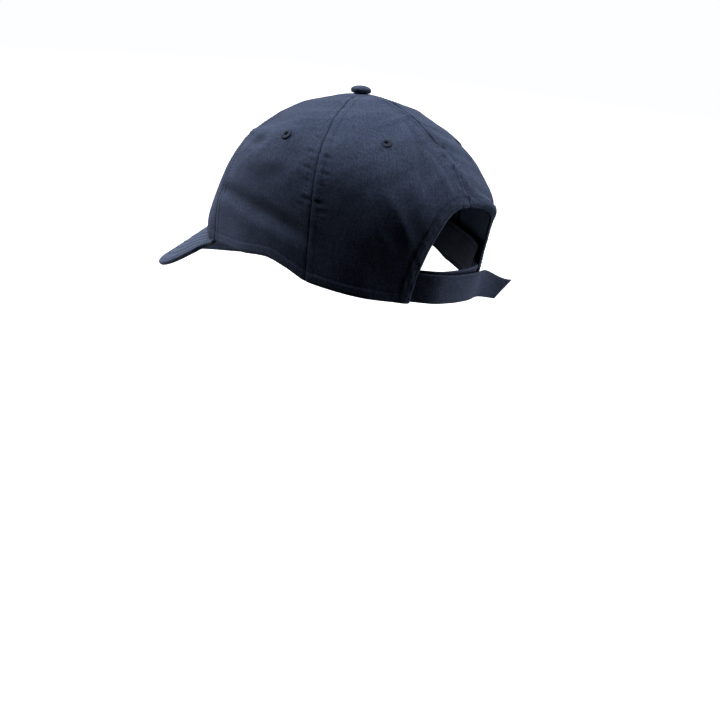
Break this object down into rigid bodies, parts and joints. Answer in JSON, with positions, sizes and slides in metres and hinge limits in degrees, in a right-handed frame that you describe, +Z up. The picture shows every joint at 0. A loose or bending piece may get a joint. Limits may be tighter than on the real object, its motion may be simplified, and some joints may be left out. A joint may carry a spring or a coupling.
{
  "type": "bump cap",
  "caption": "Dark navy cloth baseball-style bump cap with a curved peak, an arched rear opening, an overlapping hook-and-loop strap and a removable padded hard shell inside.",
  "frame": {"origin": "centre of the head opening, level with the lowest point of the rim at the back", "axes": "+Z up through the top button, -Y to the front where the peak is, +X to the wearer's left"},
  "size_m": [0.1726, 0.2868, 0.1595],
  "materials": {
    "cloth": "matte",
    "thread": "matte",
    "tape": "matte",
    "label": "matte",
    "steel": "satin",
    "board": "matte",
    "hook_tape": "matte",
    "shell_plastic": "satin",
    "foam": "matte"
  },
  "bodies": {
    "cap": {"front_left_panel": "cloth", "front_right_panel": "cloth", "side_left_panel": "cloth", "side_right_panel": "cloth", "rear_left_panel": "cloth", "rear_right_panel": "cloth", "front_left_eyelet": "thread", "front_right_eyelet": "thread", "side_left_eyelet": "thread", "side_right_eyelet": "thread", "rear_left_eyelet": "thread", "rear_right_eyelet": "thread", "front_seam_tape": "tape", "front_left_seam_tape": "tape", "front_right_seam_tape": "tape", "rear_left_seam_tape": "tape", "rear_right_seam_tape": "tape", "rear_seam_tape": "tape", "rear_opening_binding": "tape", "sweatband": "tape", "care_label": "label", "button_cover": "cloth", "button_core": "steel", "button_washer": "steel", "peak_upper_cover": "cloth", "peak_board": "board", "peak_lower_cover": "cloth", "outer_strap_root": "cloth", "inner_strap": "cloth", "loop_patch": "hook_tape"},
    "closure_strap": {"outer_strap": "cloth", "hook_patch": "hook_tape"},
    "insert": {"bump_shell": "shell_plastic", "crown_pad": "foam", "front_pad": "foam", "left_pad": "foam", "right_pad": "foam", "rear_pad": "foam"}
  },
  "joints": [
    {"name": "strap_open", "type": "hinge", "parent": "cap", "child": "closure_strap", "pos_m": [0.0289, 0.094, 0], "axis": [-0.0542, -0.1752, -0.983], "range_deg": [0, 100]},
    {"name": "insert_slide", "type": "slide", "parent": "cap", "child": "insert", "axis": [0, 0, -1], "range_m": [0, 0.16]}
  ]
}
